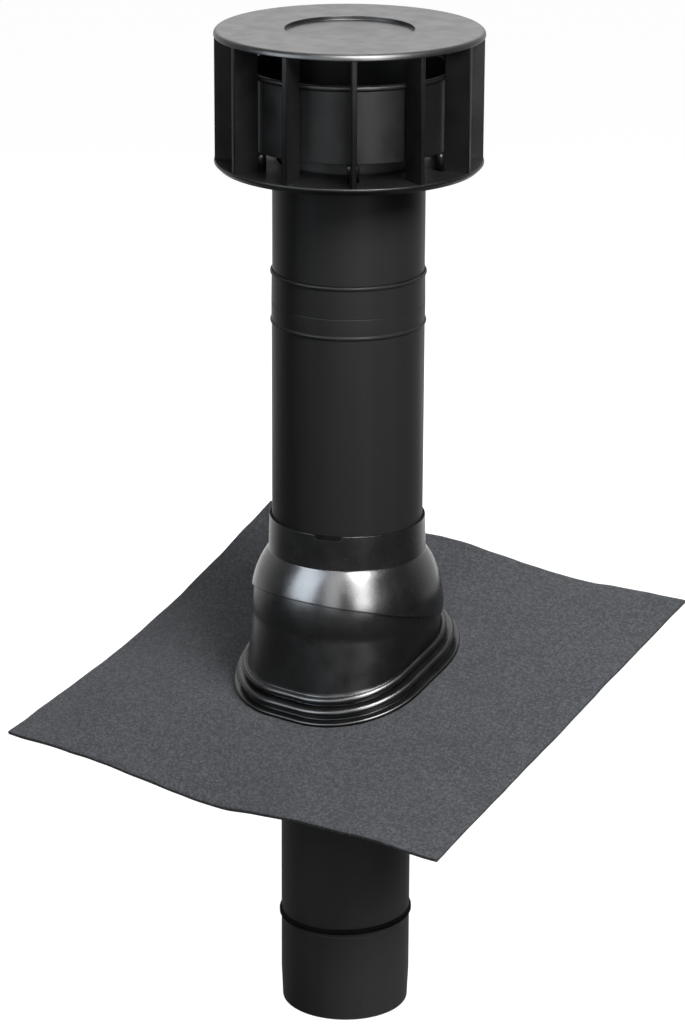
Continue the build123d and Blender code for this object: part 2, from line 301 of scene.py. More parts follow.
def rounded(points, radii, steps=6):
    """Polygon (radius, height) with rounded corners, one radius per corner; 0 keeps a corner sharp."""
    out = []
    count = len(points)
    for i in range(count):
        here = np.array(points[i], float)
        if radii[i] <= 0:
            out.append(tuple(here))
            continue
        back = np.array(points[i - 1], float) - here
        ahead = np.array(points[(i + 1) % count], float) - here
        back /= np.linalg.norm(back)
        ahead /= np.linalg.norm(ahead)
        half = math.acos(float(np.clip(back @ ahead, -1, 1))) / 2
        middle = (back + ahead) / np.linalg.norm(back + ahead)
        centre = here + middle * radii[i] / math.sin(half)
        start = here + back * radii[i] / math.tan(half) - centre
        end = here + ahead * radii[i] / math.tan(half) - centre
        sweep = math.pi - 2 * half
        for k in range(steps + 1):
            t = k / steps
            arm = (start * math.sin((1 - t) * sweep) + end * math.sin(t * sweep)) / math.sin(sweep)
            out.append(tuple(centre + arm))
    return out


def arc(centre, radius, first, last, steps):
    """Points on an arc in the (radius, height) plane, angles in degrees."""
    turns = [math.radians(first + (last - first) * k / steps) for k in range(steps + 1)]
    return [(centre[0] + radius[0] * math.cos(t), centre[1] + radius[1] * math.sin(t)) for t in turns]


def between(start, end, share):
    """Point on the line from start to end."""
    return tuple(a + (b - a) * share for a, b in zip(start, end))


def points_between(start, end, count):
    """Points strictly between start and end, which part the line into count steps."""
    return [between(start, end, k / count) for k in range(1, count)]


def grid_faces(rows, columns, close_rows=True):
    """Quads of a grid whose columns run round and whose rows may close on themselves."""
    faces = []
    for i in range(rows if close_rows else rows - 1):
        here = i * columns
        below = (i + 1) % rows * columns
        for j in range(columns):
            ahead = (j + 1) % columns
            faces.append((here + j, here + ahead, below + ahead, below + j))
    return faces


def turned(profile, columns=192):
    """Vertices and faces of a ring turned round Z from a closed (radius, height) outline."""
    verts = []
    for radius, height in profile:
        for j in range(columns):
            angle = 2 * math.pi * j / columns
            verts.append((radius * math.cos(angle), radius * math.sin(angle), height))
    return verts, grid_faces(len(profile), columns)


def ringed(lines):
    """Vertices and faces of a ring from one closed line of points per column."""
    rows = len(lines[0])
    return [line[i] for i in range(rows) for line in lines], grid_faces(rows, len(lines))


def joined(parts):
    """One vertex and face list from several."""
    verts = []
    faces = []
    for part_verts, part_faces in parts:
        offset = len(verts)
        verts.extend(part_verts)
        faces.extend(tuple(i + offset for i in face) for face in part_faces)
    return verts, faces


def block(reach, angle, size, bottom, top, edge, top_edge):
    """Upright bar with rounded edges, at this reach from the axis: size along and across the radius."""
    along, across = size[0] / 2, size[1] / 2
    outline = rounded(
        [(along, across), (-along, across), (-along, -across), (along, -across)],
        [edge] * 4,
        BLOCK_STEPS,
    )
    levels = [(bottom, 0.0)]
    for k in range(BLOCK_STEPS + 1):
        turn = math.pi / 2 * k / BLOCK_STEPS
        levels.append((top - top_edge + top_edge * math.sin(turn), top_edge * (1 - math.cos(turn))))
    verts = []
    columns = len(outline)
    for height, inset in levels:
        for a, b in outline:
            a = reach + a * (1 - inset / along)
            b *= 1 - inset / across
            x = a * math.cos(angle) - b * math.sin(angle)
            y = a * math.sin(angle) + b * math.cos(angle)
            verts.append((x, y, height))
    faces = grid_faces(len(levels), columns, False)
    faces.append(tuple(range(columns)))
    faces.append(tuple(range((len(levels) - 1) * columns, len(levels) * columns)))
    return verts, faces


def piece(name, shape, body, nodes, material):
    """Mesh object in millimetres, smooth, standing for these CAD nodes."""
    verts, faces = shape
    mesh = bpy.data.meshes.new(name)
    mesh.from_pydata([(x * MM, y * MM, z * MM) for x, y, z in verts], [], faces)
    work = bmesh.new()
    work.from_mesh(mesh)
    bmesh.ops.remove_doubles(work, verts=work.verts, dist=WELD * MM)
    bmesh.ops.dissolve_degenerate(work, edges=work.edges, dist=WELD * MM)
    bmesh.ops.recalc_face_normals(work, faces=work.faces)
    work.to_mesh(mesh)
    work.free()
    mesh.shade_smooth()
    made = bpy.data.objects.new(name, mesh)
    scene.collection.objects.link(made)
    made.data.materials.append(material)
    weighted = made.modifiers.new("weighted normals", "WEIGHTED_NORMAL")
    weighted.weight = 60
    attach(made, body)
    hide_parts(*nodes)
    return made


# Materials


class Nodes:
    """Small helper for building a node tree."""

    def __init__(self, tree):
        self.tree = tree

    def add(self, kind, **settings):
        node = self.tree.nodes.new(kind)
        for name, value in settings.items():
            setattr(node, name, value)
        return node

    def link(self, source, target):
        self.tree.links.new(source, target)


def new_material(name):
    """Material with its node helper, shader and object coordinates."""
    material = bpy.data.materials.new(name)
    material.use_nodes = True
    nodes = Nodes(material.node_tree)
    shader = material.node_tree.nodes["Principled BSDF"]
    place = nodes.add("ShaderNodeTexCoord")
    return material, nodes, shader, place.outputs["Object"]


def noise_node(nodes, place, scale, detail, stretch=None):
    """Noise value, drawn out along an axis where stretch is given."""
    if stretch is not None:
        mapping = nodes.add("ShaderNodeMapping")
        mapping.inputs["Scale"].default_value = stretch
        nodes.link(place, mapping.inputs["Vector"])
        place = mapping.outputs["Vector"]
    made = nodes.add("ShaderNodeTexNoise")
    made.inputs["Scale"].default_value = scale
    made.inputs["Detail"].default_value = detail
    nodes.link(place, made.inputs["Vector"])
    return made.outputs["Fac"]


def spread(nodes, value, first, last, target, limits=(0.3, 0.7)):
    """Map a value from its limits to a range, and feed it to a socket."""
    mapped = nodes.add("ShaderNodeMapRange")
    mapped.inputs["From Min"].default_value = limits[0]
    mapped.inputs["From Max"].default_value = limits[1]
    mapped.inputs["To Min"].default_value = first
    mapped.inputs["To Max"].default_value = last
    nodes.link(value, mapped.inputs["Value"])
    nodes.link(mapped.outputs["Result"], target)


def blend_tones(nodes, value, dark, light):
    """Colour between two tones by a noise value."""
    tones = nodes.add("ShaderNodeMix", data_type="RGBA")
    tones.inputs[COLOUR_A].default_value = dark
    tones.inputs[COLOUR_B].default_value = light
    spread(nodes, value, 0.0, 1.0, tones.inputs[MIX_SHARE])
    return tones.outputs[COLOUR_OUT]


def bumped(nodes, height, strength, distance):
    """Bump node over a height value."""
    bump = nodes.add("ShaderNodeBump")
    bump.inputs["Strength"].default_value = strength
    bump.inputs["Distance"].default_value = distance
    nodes.link(height, bump.inputs["Height"])
    return bump


def plastic(name, dark, light, rough, grain, wave, shine, streak=None):
    """Black plastic with faint dust and scuffs; grain and wave are (scale, strength) of two bumps."""
    material, nodes, shader, place = new_material(name)
    cloud = noise_node(nodes, place, scale=14.0, detail=4.0, stretch=streak)
    dust = noise_node(nodes, place, scale=420.0, detail=2.0)
    dusty = nodes.add("ShaderNodeMix", data_type="RGBA")
    dusty.inputs[COLOUR_B].default_value = (0.03, 0.03, 0.029, 1)
    spread(nodes, dust, 0.0, 0.5, dusty.inputs[MIX_SHARE], limits=(0.66, 0.74))
    nodes.link(blend_tones(nodes, cloud, dark, light), dusty.inputs[COLOUR_A])
    nodes.link(dusty.outputs[COLOUR_OUT], shader.inputs["Base Color"])
    scuff = noise_node(nodes, place, scale=60.0, detail=5.0, stretch=streak)
    spread(nodes, scuff, rough[0], rough[1], shader.inputs["Roughness"])
    grain_height = noise_node(nodes, place, scale=grain[0], detail=2.0)
    wave_height = noise_node(nodes, place, scale=wave[0], detail=2.0, stretch=streak)
    fine = bumped(nodes, grain_height, strength=grain[1], distance=0.0002)
    broad = bumped(nodes, wave_height, strength=wave[1], distance=0.002)
    nodes.link(broad.outputs["Normal"], fine.inputs["Normal"])
    nodes.link(fine.outputs["Normal"], shader.inputs["Normal"])
    shader.inputs["Specular IOR Level"].default_value = shine
    return material


def rubber(name):
    """Matt black rubber with a fine dusty bloom."""
    material, nodes, shader, place = new_material(name)
    bloom = noise_node(nodes, place, scale=180.0, detail=4.0)
    tones = blend_tones(nodes, bloom, (0.002, 0.002, 0.0021, 1), (0.006, 0.006, 0.0061, 1))
    nodes.link(tones, shader.inputs["Base Color"])
    spread(nodes, bloom, 0.55, 0.75, shader.inputs["Roughness"])
    shader.inputs["Specular IOR Level"].default_value = 0.02
    pores = noise_node(nodes, place, scale=1500.0, detail=2.0)
    fine = bumped(nodes, pores, strength=0.25, distance=0.0002)
    nodes.link(fine.outputs["Normal"], shader.inputs["Normal"])
    return material


def bitumen(name):
    """Mineral granules pressed in bitumen: speckled grey, mottled in broad patches."""
    material, nodes, shader, place = new_material(name)
    grains = nodes.add("ShaderNodeTexVoronoi")
    grains.inputs["Scale"].default_value = 620.0
    nodes.link(place, grains.inputs["Vector"])
    tone = nodes.add("ShaderNodeSeparateColor")
    nodes.link(grains.outputs["Color"], tone.inputs["Color"])
    granule = nodes.add("ShaderNodeValToRGB")
    ramp = granule.color_ramp
    ramp.elements[0].position = 0.0
    ramp.elements[0].color = (0.047, 0.049, 0.0535, 1)
    ramp.elements[1].position = 1.0
    ramp.elements[1].color = (0.087, 0.091, 0.099, 1)
    middle = ramp.elements.new(0.6)
    middle.color = (0.064, 0.067, 0.073, 1)
    nodes.link(tone.outputs["Red"], granule.inputs["Fac"])
    patch = noise_node(nodes, place, scale=22.0, detail=5.0)
    patch_tone = nodes.add("ShaderNodeValToRGB")
    patch_ramp = patch_tone.color_ramp
    patch_ramp.elements[0].position = 0.3
    patch_ramp.elements[0].color = (0.90, 0.90, 0.91, 1)
    patch_ramp.elements[1].position = 0.7
    patch_ramp.elements[1].color = (1.06, 1.06, 1.05, 1)
    nodes.link(patch, patch_tone.inputs["Fac"])
    shade = nodes.add("ShaderNodeMix", data_type="RGBA", blend_type="MULTIPLY")
    shade.inputs[MIX_SHARE].default_value = 1.0
    nodes.link(granule.outputs["Color"], shade.inputs[COLOUR_A])
    nodes.link(patch_tone.outputs["Color"], shade.inputs[COLOUR_B])
    nodes.link(shade.outputs[COLOUR_OUT], shader.inputs["Base Color"])
    spread(nodes, patch, 0.7, 0.9, shader.inputs["Roughness"])
    shader.inputs["Specular IOR Level"].default_value = 0.03
    bump = bumped(nodes, grains.outputs["Distance"], strength=0.5, distance=0.0006)
    nodes.link(bump.outputs["Normal"], shader.inputs["Normal"])
    return material


EXTRUDED = (1.0, 1.0, 0.06)
lid_plastic = plastic(
    "cap plastic",
    dark=(0.006, 0.006, 0.0063, 1),
    light=(0.010, 0.010, 0.010, 1),
    rough=(0.3, 0.4),
    grain=(1400.0, 0.16),
    wave=(30.0, 0.03),
    shine=0.22,
)
# Darker, less shiny copy of the cap plastic for the cage and baffle: its darker tones are painted shade for
# the parts under the lid.
cage_plastic_painted_shade = plastic(
    "cage plastic with painted shade",
    dark=(0.005, 0.005, 0.0053, 1),
    light=(0.009, 0.009, 0.009, 1),
    rough=(0.32, 0.42),
    grain=(1400.0, 0.16),
    wave=(30.0, 0.03),
    shine=0.12,
)
pipe_plastic = plastic(
    "pipe plastic",
    dark=(0.015, 0.015, 0.0152, 1),
    light=(0.0205, 0.0205, 0.0205, 1),
    rough=(0.34, 0.46),
    grain=(1600.0, 0.12),
    wave=(40.0, 0.06),
    shine=0.035,
    streak=EXTRUDED,
)
# Lighter copy of the pipe plastic for the duct and spigot: partly a lighter pipe, partly painted light for
# the spigot in shade under the sheet.
duct_plastic_with_painted_light = plastic(
    "duct plastic with painted light",
    dark=(0.037, 0.037, 0.0374, 1),
    light=(0.047, 0.047, 0.0472, 1),
    rough=(0.34, 0.46),
    grain=(1600.0, 0.12),
    wave=(40.0, 0.06),
    shine=0.06,
    streak=EXTRUDED,
)
dome_plastic = plastic(
    "dome plastic",
    dark=(0.003, 0.003, 0.0033, 1),
    light=(0.006, 0.006, 0.0061, 1),
    rough=(0.22, 0.3),
    grain=(900.0, 0.05),
    wave=(26.0, 0.02),
    shine=0.4,
)
base_plastic = plastic(
    "base plastic",
    dark=(0.003, 0.003, 0.0033, 1),
    light=(0.006, 0.006, 0.0061, 1),
    rough=(0.26, 0.34),
    grain=(900.0, 0.06),
    wave=(26.0, 0.02),
    shine=0.27,
)
seal_rubber = rubber("seal rubber")
bitumen_sheet = bitumen("bitumen sheet")

# Lid

lid_profile = rounded(
    [
        (DISC_CENTRE, LID_DISH_BOTTOM),
        (LID_RECESS_R + LID_RECESS_WALL, LID_DISH_BOTTOM),
        (LID_RECESS_R + LID_RECESS_WALL, LID_BOTTOM),
        (LID_R, LID_BOTTOM),
        (LID_R, LID_TOP),
        (LID_RECESS_R, LID_TOP),
        (LID_RECESS_R, LID_TOP - LID_RECESS_DEPTH),
        (DISC_CENTRE, LID_TOP - LID_RECESS_DEPTH),
    ],
    [0, 0.8, 0.6, 0.7, LID_EDGE, 0.3, 0.5, 0],
)
piece("lid", turned(lid_profile, LID_COLUMNS), "terminal", ["cap_lid"], lid_plastic)

# Cage: the cap's floor with its fins and posts

floor_profile = rounded(
    [
        (FLOOR_BORE, FLOOR_BOTTOM + NECK_SOCKET_DEPTH),
        (NECK_SOCKET_R, FLOOR_BOTTOM + NECK_SOCKET_DEPTH),
        (NECK_SOCKET_R, FLOOR_BOTTOM),
        (LID_R - FLOOR_CHAMFER, FLOOR_BOTTOM),
        (LID_R, FLOOR_BOTTOM + FLOOR_CHAMFER),
        (LID_R, FLOOR_TOP),
        (FLOOR_BORE, FLOOR_TOP),
    ],
    [0.3, 0, 0.5, 1.6, 1.4, 0.7, 0.7],
)
cage_parts = [turned(floor_profile, LID_COLUMNS)]
fin_middle = (FIN_INNER + FIN_OUTER) / 2
fin_size = (FIN_OUTER - FIN_INNER, FIN_THICKNESS)
post_size = (POST_DEPTH, POST_WIDTH)
fin_bottom = FLOOR_TOP - FIN_SINK
for k in range(FIN_COUNT):
    angle = FIN_ANGLE + 2 * math.pi * k / FIN_COUNT
    fin_top = LID_BOTTOM - TOUCH_GAP
    cage_parts.append(block(fin_middle, angle, fin_size, fin_bottom, fin_top, FIN_EDGE, TOUCH_GAP))
    if k % 2 == 0:
        post_top = BAFFLE_BOTTOM - TOUCH_GAP
        cage_parts.append(block(POST_R, angle, post_size, fin_bottom, post_top, POST_EDGE, POST_TOP_EDGE))
piece("cage", joined(cage_parts), "terminal", ["cap_cage"], cage_plastic_painted_shade)

# Wind baffle

baffle_profile = rounded(
    [
        (BAFFLE_BORE, BAFFLE_BOTTOM),
        (BAFFLE_R, BAFFLE_BOTTOM),
        (BAFFLE_R, BAFFLE_TOP - BAFFLE_LIP_HEIGHT),
        (BAFFLE_LIP_R, BAFFLE_TOP - BAFFLE_LIP_HEIGHT),
        (BAFFLE_LIP_R, BAFFLE_TOP),
        (BAFFLE_BORE, BAFFLE_TOP),
    ],
    [0.5, 0.6, 0.5, 1.4, 1.7, 1.2],
)
baffle_shape = turned(baffle_profile, BAFFLE_COLUMNS)
piece("baffle", baffle_shape, "terminal", ["wind_baffle"], cage_plastic_painted_shade)

# Neck

neck_profile = rounded(
    [
        (NECK_PLUG_BORE, NECK_BOTTOM),
        (NECK_PLUG_R, NECK_BOTTOM),
        (NECK_PLUG_R, PIPE_TOP),
        (NECK_R, PIPE_TOP),
        (NECK_R, NECK_TOP),
        (NECK_BORE, NECK_TOP),
        (NECK_BORE, PIPE_TOP + NECK_SHOULDER),
        (NECK_PLUG_BORE, PIPE_TOP + NECK_SHOULDER),
    ],
    [0.5, 0.8, 0, 0.4, 0.3, 0.3, 0, 0.4],
)
piece("neck", turned(neck_profile), "terminal", ["neck_tube"], pipe_plastic)

# Outer pipe with its socket band


def pipe_bead(height):
    """Half-round bead on the socket band."""
    return arc((BAND_R - BEAD_SINK, height), (BEAD_PROUD + BEAD_SINK, BEAD_HALF), -90, 90, 14)


pipe_profile = (
    rounded([(PIPE_BORE, PIPE_TOP), (PIPE_BORE, PIPE_BOTTOM), (PIPE_R, PIPE_BOTTOM)], [PIPE_EDGE] * 3)
    + pipe_bead(BAND_BOTTOM)
    + [
        (BAND_R, BAND_BOTTOM + BEAD_HALF + BEAD_FOOT),
        (BAND_R, BAND_STEP - GROOVE_HALF),
        (BAND_R - BAND_GROOVE, BAND_STEP - GROOVE_FLOOR_HALF),
        (BAND_R - BAND_GROOVE, BAND_STEP + GROOVE_FLOOR_HALF),
        (BAND_R, BAND_STEP + GROOVE_HALF),
    ]
    + pipe_bead(PIPE_TOP - BEAD_HALF)
)
piece("pipe", turned(pipe_profile), "terminal", ["outer_pipe"], pipe_plastic)

# Duct, which shows below as the spigot

duct_profile = rounded(
    [
        (DUCT_BORE, DUCT_TOP),
        (DUCT_BORE, 0),
        (DUCT_R - DUCT_TAPER, 0),
        (DUCT_R, DUCT_TAPER_HEIGHT),
        (DUCT_R, SEAL_Z - SEAL_GROOVE_HALF),
        (DUCT_R - SEAL_GROOVE_DEPTH, SEAL_Z - SEAL_GROOVE_HALF),
        (DUCT_R - SEAL_GROOVE_DEPTH, SEAL_Z + SEAL_GROOVE_HALF),
        (DUCT_R, SEAL_Z + SEAL_GROOVE_HALF),
        (DUCT_R, STOP_BEAD_Z),
        (STOP_BEAD_R, STOP_BEAD_Z),
        (STOP_BEAD_R, STOP_BEAD_Z + STOP_BEAD_HEIGHT),
        (DUCT_R, STOP_BEAD_Z + STOP_BEAD_HEIGHT),
        (DUCT_R, DUCT_TOP),
    ],
    [0.5, 0.4, 0.6, 8.0, 0.3, 0.1, 0.1, 0.3, 0, 0.4, 0.4, 0, 0.8],
)
piece("duct", turned(duct_profile), "terminal", ["inner_pipe"], duct_plastic_with_painted_light)

# Rubber ring on the spigot, slightly askew

seal_profile = rounded(
    [
        (SEAL_INNER, -SEAL_HALF),
        (SEAL_OUTER, -SEAL_HALF),
        (SEAL_OUTER, SEAL_HALF),
        (SEAL_INNER, SEAL_HALF),
    ],
    [0.4, 0.95, 0.95, 0.4],
)
seal_verts, seal_faces = turned(seal_profile, SEAL_COLUMNS)
lean = Matrix.Translation((0, 0, SEAL_Z)) @ Matrix.Rotation(-SEAL_ASKEW, 4, "Y")
seal_shape = ([tuple(lean @ Vector(v)) for v in seal_verts], seal_faces)
piece("spigot_ring", seal_shape, "terminal", ["spigot_seal"], seal_rubber)

# Swivel hood


def on_ball(radius, lift):
    """Point (radius, height) at this elevation on a ball round the pivot."""
    return radius * math.cos(lift), PIVOT_Z + radius * math.sin(lift)


def sphere_edge(angle, radius, tilt, level):
    """Elevation on a ball round the pivot where a plane, leaning along Y by tilt, cuts it at this level."""
    side = math.sin(angle) * math.sin(tilt)
    upright = math.cos(tilt)
    length = math.hypot(side, upright)
    return math.asin(level / (radius * length)) - math.atan2(side, upright)


def hood_rim(angle, radius):
    """Elevation of the hood's lower rim."""
    return max(
        sphere_edge(angle, radius, RIM_TILT, RIM_OFFSET),
        sphere_edge(angle, radius, -ROOF_PITCH, RIM_OVER_ROOF),
    )


def hood_line(angle):
    """Section of the hood at one angle: up the bore, over the collar's lip, down the dome and back inside."""
    across = COLLAR_R * math.sin(angle - NOTCH_ANGLE)
    in_notch = abs(across) < NOTCH_HALF and math.cos(angle - NOTCH_ANGLE) > 0
    top = COLLAR_TOP - (NOTCH_DEPTH if in_notch else 0.0)
    lip = NOTCH_EDGE if in_notch else COLLAR_LIP_EDGE
    seat = COLLAR_TOP - COLLAR_SEAL_DEPTH
    line = [
        (COLLAR_BORE, PIPE_BOTTOM),
        (COLLAR_BORE, seat),
        (COLLAR_SEAL_SEAT, seat),
        (COLLAR_SEAL_SEAT, top - COLLAR_LIP_SLOPE),
    ]
    line += arc((COLLAR_LIP_R - lip, top - lip), (lip, lip), 120, 0, LIP_STEPS)
    collar_foot = math.sqrt((HOOD_R + COLLAR_BLEND) ** 2 - (COLLAR_R + COLLAR_BLEND) ** 2)
    centre = (COLLAR_R + COLLAR_BLEND, PIVOT_Z + collar_foot)
    line += points_between((COLLAR_LIP_R, top), (COLLAR_R, centre[1]), COLLAR_STEPS)
    dome_top = math.atan2(collar_foot, COLLAR_R + COLLAR_BLEND)
    line += arc(centre, (COLLAR_BLEND, COLLAR_BLEND), 180, 180 + math.degrees(dome_top), COLLAR_STEPS)
    rim = hood_rim(angle, HOOD_R)
    dome_turn = rim + RIM_EDGE_LIFT - dome_top
    line += [on_ball(HOOD_R, dome_top + dome_turn * k / DOME_STEPS) for k in range(1, DOME_STEPS + 1)]
    line.append(on_ball(HOOD_R - RIM_EDGE_MIDDLE, rim + RIM_EDGE_MIDDLE_LIFT))
    line.append(on_ball(HOOD_R - RIM_EDGE, rim))
    inner_rim = hood_rim(angle, HOOD_INNER)
    inner_top = math.acos(LEDGE_R / HOOD_INNER)
    for k in range(HOOD_INNER_STEPS + 1):
        line.append(on_ball(HOOD_INNER, inner_rim + (inner_top - inner_rim) * k / HOOD_INNER_STEPS))
    line.append((LEDGE_R, PIPE_BOTTOM))
    return [(r * math.cos(angle), r * math.sin(angle), z) for r, z in line]


hood_shape = ringed([hood_line(2 * math.pi * j / HOOD_COLUMNS) for j in range(HOOD_COLUMNS)])
piece("hood", hood_shape, "terminal", ["swivel_hood"], dome_plastic)

# Base shell


def roof_point(u, v, rise):
    """Point given along the eaves, up the slope and off the sheet, from the foot's centre."""
    v += FOOT_SHIFT
    rise -= PIVOT_TO_SHEET
    return (
        u,
        v * math.cos(ROOF_PITCH) - rise * math.sin(ROOF_PITCH),
        PIVOT_Z + v * math.sin(ROOF_PITCH) + rise * math.cos(ROOF_PITCH),
    )


def roof_height(point):
    """Height of a point over the sheet."""
    return PIVOT_TO_SHEET - point[1] * math.sin(ROOF_PITCH) + (point[2] - PIVOT_Z) * math.cos(ROOF_PITCH)


def stretch(column):
    """Quarter, whether on its corner rather than its straight, and share along it."""
    number, step = divmod(column, STRETCH_STEPS)
    return number // 2, number % 2 == 1, step / STRETCH_STEPS


def foot_point(column, grow):
    """Point on the foot's rounded oblong, grown outwards."""
    quarter, corner, share = stretch(column)
    half_u, half_v = SKIRT_U + grow, SKIRT_V + grow
    radius = SKIRT_CORNER + grow
    flat_u, flat_v = half_u - radius, half_v - radius
    if corner:
        signs = [(1, 1), (-1, 1), (-1, -1), (1, -1)][quarter]
        turn = math.radians(90 * (quarter + share))
        return signs[0] * flat_u + radius * math.cos(turn), signs[1] * flat_v + radius * math.sin(turn)
    ends = [
        ((half_u, -flat_v), (half_u, flat_v)),
        ((flat_u, half_v), (-flat_u, half_v)),
        ((-half_u, flat_v), (-half_u, -flat_v)),
        ((-flat_u, -half_v), (flat_u, -half_v)),
    ][quarter]
    return between(*ends, share)


def ring_angle(column):
    """Angle on the shoulder circle that belongs to a column."""
    quarter, corner, share = stretch(column)
    if corner:
        return math.radians(90 * quarter + SIDE_ARC + (90 - 2 * SIDE_ARC) * share)
    return math.radians(90 * quarter - SIDE_ARC + 2 * SIDE_ARC * share)


def ball_rows(column, radius, count):
    """Points of the dome from its opening down to its shoulder."""
    angle = ring_angle(column)
    level = math.sqrt(radius**2 - OPENING_R**2)
    first = sphere_edge(angle, radius, OPENING_TILT, level)
    last = -math.asin(SHOULDER_DROP / radius)
    points = []
    for k in range(count + 1):
        flat, height = on_ball(radius, first + (last - first) * k / count)
        points.append((flat * math.cos(angle), flat * math.sin(angle), height))
    return points


def foot_arc(grow, rise, radius, first, last, steps):
    """Bead, fillet or rounded edge of the foot."""
    return arc((grow, rise), (radius, radius), first, last, steps)


# The skirt meets the upper bead where the bead's circle crosses the skirt's foot line.
bead_start = math.degrees(math.acos(-UPPER_BEAD[0] / BEAD_ROUND))
bead_top = UPPER_BEAD[1] + BEAD_ROUND * math.sin(math.radians(bead_start))
groove_rise = LOWER_BEAD[1] + BEAD_ROUND
flange_fillet_rise = FLANGE_THICKNESS + FLANGE_FILLET
foot_line = (
    foot_arc(*UPPER_BEAD, BEAD_ROUND, bead_start, -90, 18)
    + foot_arc(UPPER_BEAD[0] - FILLET_SHIFT, groove_rise + BEAD_FILLET, BEAD_FILLET, 180, 270, 4)
    + foot_arc(*LOWER_BEAD, BEAD_ROUND, 100, -90, 16)
    + foot_arc(LOWER_BEAD[0] + FILLET_SHIFT, flange_fillet_rise, FLANGE_FILLET, 180, 270, 4)
    + foot_arc(FLANGE_GROW - FLANGE_EDGE, FLANGE_THICKNESS - FLANGE_EDGE, FLANGE_EDGE, 90, 0, 5)
    + [
        (FLANGE_GROW, FOOT_UNDER + FLANGE_BREAK),
        (FLANGE_GROW - FLANGE_BREAK, FOOT_UNDER),
        (-FOOT_WALL, FOOT_UNDER),
        (-FOOT_WALL, FOOT_RECESS),
    ]
)


def base_line(column):
    """Section of the shell in one column: over the ball, down the skirt, round the foot and back inside."""
    outer_ball = ball_rows(column, BASE_R, BALL_STEPS)
    inner_ball = ball_rows(column, BASE_INNER, BALL_INNER_STEPS)[::-1]
    shoulder = outer_ball[-1]
    outer_foot = roof_point(*foot_point(column, 0.0), UPPER_BEAD[1] + FOOT_CLEAR)
    inner_foot = roof_point(*foot_point(column, -FOOT_WALL), UPPER_BEAD[1] + FOOT_CLEAR)
    over = roof_height(shoulder)
    skirt_end = between(shoulder, outer_foot, (over - bead_top - SKIRT_END) / (over - UPPER_BEAD[1]))
    line = outer_ball + points_between(shoulder, skirt_end, SKIRT_STEPS) + [skirt_end]
    line += [roof_point(*foot_point(column, grow), rise + FOOT_CLEAR) for grow, rise in foot_line]
    inner_skirt = points_between(inner_foot, inner_ball[0], SKIRT_INNER_STEPS)
    return line + [inner_foot] + inner_skirt + inner_ball


def peg(u, v):
    """Staked peg under the flange, with its flattened head."""
    profile = [(DISC_CENTRE, PEG_SINK), (PEG_R, PEG_SINK), (PEG_R, -PEG_REACH)]
    profile += [(PEG_HEAD_R - inwards, -PEG_REACH - down) for inwards, down in PEG_HEAD_EDGE]
    profile.append((DISC_CENTRE, profile[-1][1]))
    verts, faces = turned(profile, PEG_COLUMNS)
    return [roof_point(x + u, y + v, z + FOOT_CLEAR) for x, y, z in verts], faces


peg_places = [(side * (SKIRT_U + PEG_OUT), end * PEG_V) for side in (-1, 1) for end in (-1, 1)]
peg_places += [(0.0, end * (SKIRT_V + PEG_OUT)) for end in (-1, 1)]
base_parts = [ringed([base_line(j) for j in range(BASE_COLUMNS)])]
base_parts += [peg(u, v) for u, v in peg_places]
piece("base", joined(base_parts), "flashing", ["base_shell"], base_plastic)

# Flashing sheet: flat under the foot, wavy towards its edges


def ease(distance, reach):
    """Square of the share of a distance, from 0 to 1."""
    share = max(0.0, min(1.0, distance / reach))
    return share * share


def hump(place, height, middle, reach):
    """Smooth hump, or a dip where its height is negative."""
    return height * math.exp(-(((place - middle) / reach) ** 2))


def ripple(u, v, length, layer):
    """Smooth noise of this wave length, from one layer of the noise field."""
    return noise.noise(Vector((u / length, v / length, layer)))


def sheet_rise(u, v):
    """Height of the sheet's upper face over the roof plane."""
    left_share = ease(-FLAT_U - u, -FLAT_U - SHEET_LEFT)
    front_share = ease(-FLAT_V - v, -FLAT_V - SHEET_FRONT)
    back_share = ease(v - FLAT_V, SHEET_BACK - FLAT_V)
    rise = -LEFT_DROOP * left_share * math.cos(math.pi * (v - SHEET_V) / SHEET_L)
    rise += front_share * hump(u, *FRONT_DIP)
    rise += back_share * hump(u, *BACK_HUMP)
    rise += back_share * hump(u, *BACK_DIP)
    edge = max(abs(u - SHEET_U) / (SHEET_W / 2), abs(v - SHEET_V) / (SHEET_L / 2))
    loose = ease(edge - RIPPLE_START, 1 - RIPPLE_START)
    broad = ripple(u, v, RIPPLE_BROAD, RIPPLE_LAYERS[0])
    fine = ripple(u, v, RIPPLE_FINE, RIPPLE_LAYERS[1])
    return rise + RIPPLE * loose * (broad + RIPPLE_FINE_SHARE * fine)


def rectangle_points(steps_u, steps_v):
    """Points round the sheet's edge, corners included."""
    corners = [
        (SHEET_RIGHT, SHEET_FRONT),
        (SHEET_RIGHT, SHEET_BACK),
        (SHEET_LEFT, SHEET_BACK),
        (SHEET_LEFT, SHEET_FRONT),
    ]
    points = []
    for side in range(4):
        steps = steps_u if side % 2 else steps_v
        start, end = corners[side], corners[(side + 1) % 4]
        points += [between(start, end, k / steps) for k in range(steps)]
    return points


edge_points = rectangle_points(SHEET_STEPS_U, SHEET_STEPS_V)
hole = np.array([foot_point(j, -HOLE_INSET) for j in range(BASE_COLUMNS)])
hole_angles = np.arctan2(hole[:, 1], hole[:, 0])
hole_radii = np.hypot(hole[:, 0], hole[:, 1])
order = np.argsort(hole_angles)


def sheet_ring(share):
    """Points at this share of the way from the hole to the sheet's edge."""
    ring = []
    for u, v in edge_points:
        angle = math.atan2(v, u)
        start = float(np.interp(angle, hole_angles[order], hole_radii[order], period=2 * math.pi))
        distance = start + (math.hypot(u, v) - start) * share
        ring.append((distance * math.cos(angle), distance * math.sin(angle)))
    return ring


